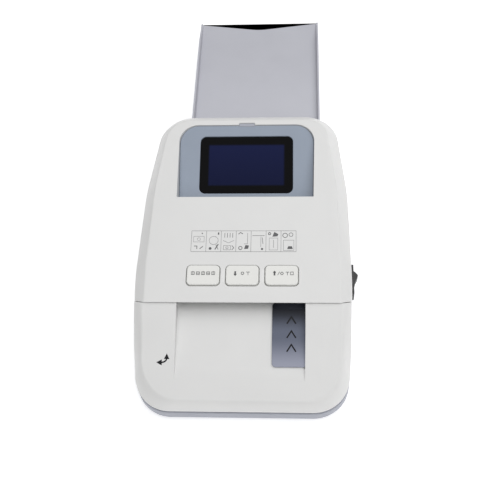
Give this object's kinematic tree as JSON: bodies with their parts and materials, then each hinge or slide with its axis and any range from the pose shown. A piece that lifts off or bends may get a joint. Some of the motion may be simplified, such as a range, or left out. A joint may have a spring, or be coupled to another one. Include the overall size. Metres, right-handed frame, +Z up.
{
  "type": "counterfeit bill detector",
  "caption": "White clam-shell desk banknote checker with display, press keys, side rocker switch, sloped feed channel with sliding width guide and a grey rear catch tray.",
  "frame": {"origin": "middle of the overall box at the level of the feet's undersides", "axes": "+X to the user's right, +Y from the note entry towards the catch tray, +Z up"},
  "size_m": [0.17, 0.388, 0.0721],
  "materials": {
    "white_shell": "fine satin moulded white",
    "key_white": "satin white key cap",
    "blue_grey": "satin blue-grey display surround",
    "tray_grey": "fine satin pale blue-grey",
    "base_grey": "satin blue-grey",
    "guide_grey": "polished blue-grey",
    "dark_glass": "polished dark display window",
    "display_blue": "dark blue display panel",
    "black_plastic": "satin black",
    "dark_plastic": "matt dark grey",
    "rubber_black": "matt black rubber",
    "steel": "bright drawn steel",
    "board_green": "green coated board",
    "motor_steel": "plated steel can",
    "brass": "turned brass",
    "lamp_violet": "dark violet lamp tube"
  },
  "bodies": {
    "base": {"base_pan": "base_grey", "lower_housing": "white_shell", "foot_1": "rubber_black", "foot_2": "rubber_black", "foot_3": "rubber_black", "foot_4": "rubber_black", "base_screw_1": "steel", "base_screw_2": "steel", "base_screw_3": "steel", "base_screw_4": "steel", "switch_frame": "black_plastic", "lower_path_plate": "dark_plastic", "motor_can": "motor_steel", "drive_belt": "rubber_black", "main_board": "board_green", "dc_jack": "black_plastic", "uv_lamp": "lamp_violet", "hinge_pin_left": "steel", "hinge_pin_right": "steel", "hinge_bracket_left": "dark_plastic", "hinge_bracket_right": "dark_plastic"},
    "cover": {"upper_cover": "white_shell", "display_bezel": "blue_grey", "display_window": "dark_glass", "display_panel": "display_blue", "key_board": "board_green", "tact_switch_left": "black_plastic", "tact_switch_middle": "black_plastic", "tact_switch_right": "black_plastic", "upper_path_plate": "dark_plastic", "hinge_arm_left": "dark_plastic", "hinge_arm_right": "dark_plastic", "image_sensor": "black_plastic", "magnetic_head": "steel"},
    "left_key": {"key_left": "key_white"},
    "middle_key": {"key_middle": "key_white"},
    "right_key": {"key_right": "key_white"},
    "rocker": {"switch_rocker": "black_plastic"},
    "guide": {"note_guide": "guide_grey"},
    "tray": {"rear_tray": "tray_grey"},
    "rear_drive": {"drive_shaft_rear": "steel", "drive_pulley_rear": "black_plastic", "drive_roller_rear_left": "rubber_black", "drive_roller_rear_right": "rubber_black", "encoder_disc": "black_plastic"},
    "front_drive": {"drive_shaft_front": "steel", "drive_pulley_front": "black_plastic", "drive_roller_front_left": "rubber_black", "drive_roller_front_right": "rubber_black"},
    "motor_shaft": {"motor_spindle": "steel", "motor_pulley": "brass"},
    "front_pinch": {"pinch_axle_front": "steel", "pinch_roller_front_left": "black_plastic", "pinch_roller_front_right": "black_plastic"},
    "rear_pinch": {"pinch_axle_rear": "steel", "pinch_roller_rear_left": "black_plastic", "pinch_roller_rear_right": "black_plastic"}
  },
  "joints": [
    {"name": "cover_hinge", "type": "hinge", "parent": "base", "child": "cover", "pos_m": [0, 0.045, 0.036], "axis": [-1, 0, 0], "range_deg": [0, 55]},
    {"name": "left_key_press", "type": "slide", "parent": "cover", "child": "left_key", "axis": [0, 0, -1], "range_m": [0, 0.001], "stiffness_N_per_m": 300, "springref_m": -0.001},
    {"name": "middle_key_press", "type": "slide", "parent": "cover", "child": "middle_key", "axis": [0, 0, -1], "range_m": [0, 0.001], "stiffness_N_per_m": 300, "springref_m": -0.001},
    {"name": "right_key_press", "type": "slide", "parent": "cover", "child": "right_key", "axis": [0, 0, -1], "range_m": [0, 0.001], "stiffness_N_per_m": 300, "springref_m": -0.001},
    {"name": "power_rocker", "type": "hinge", "parent": "base", "child": "rocker", "pos_m": [0.08125, -0.0896, 0.0215], "axis": [0, 0, 1], "range_deg": [0, 14]},
    {"name": "guide_slide", "type": "slide", "parent": "base", "child": "guide", "axis": [1, 0, 0], "range_m": [0, 0.019]},
    {"name": "tray_unplug", "type": "slide", "parent": "base", "child": "tray", "axis": [0, 1, 0], "range_m": [0, 0.016]},
    {"name": "rear_drive_spin", "type": "hinge", "parent": "base", "child": "rear_drive", "pos_m": [0, 0.018, 0.02385], "axis": [1, 0, 0], "continuous": true},
    {"name": "front_drive_spin", "type": "hinge", "parent": "base", "child": "front_drive", "pos_m": [0, -0.076, 0.02994], "axis": [1, 0, 0], "continuous": true},
    {"name": "motor_spin", "type": "hinge", "parent": "base", "child": "motor_shaft", "pos_m": [0, -0.029, 0.018], "axis": [1, 0, 0], "continuous": true},
    {"name": "front_pinch_spin", "type": "hinge", "parent": "cover", "child": "front_pinch", "pos_m": [0, -0.076, 0.04474], "axis": [1, 0, 0], "continuous": true},
    {"name": "rear_pinch_spin", "type": "hinge", "parent": "cover", "child": "rear_pinch", "pos_m": [0, 0.018, 0.03865], "axis": [1, 0, 0], "continuous": true}
  ],
  "couplings": [
    {"joint": "front_drive_spin", "follows": "rear_drive_spin", "ratio": 1},
    {"joint": "motor_spin", "follows": "rear_drive_spin", "ratio": 1.25},
    {"joint": "front_pinch_spin", "follows": "rear_drive_spin", "ratio": -1.6364},
    {"joint": "rear_pinch_spin", "follows": "rear_drive_spin", "ratio": -1.6364}
  ]
}
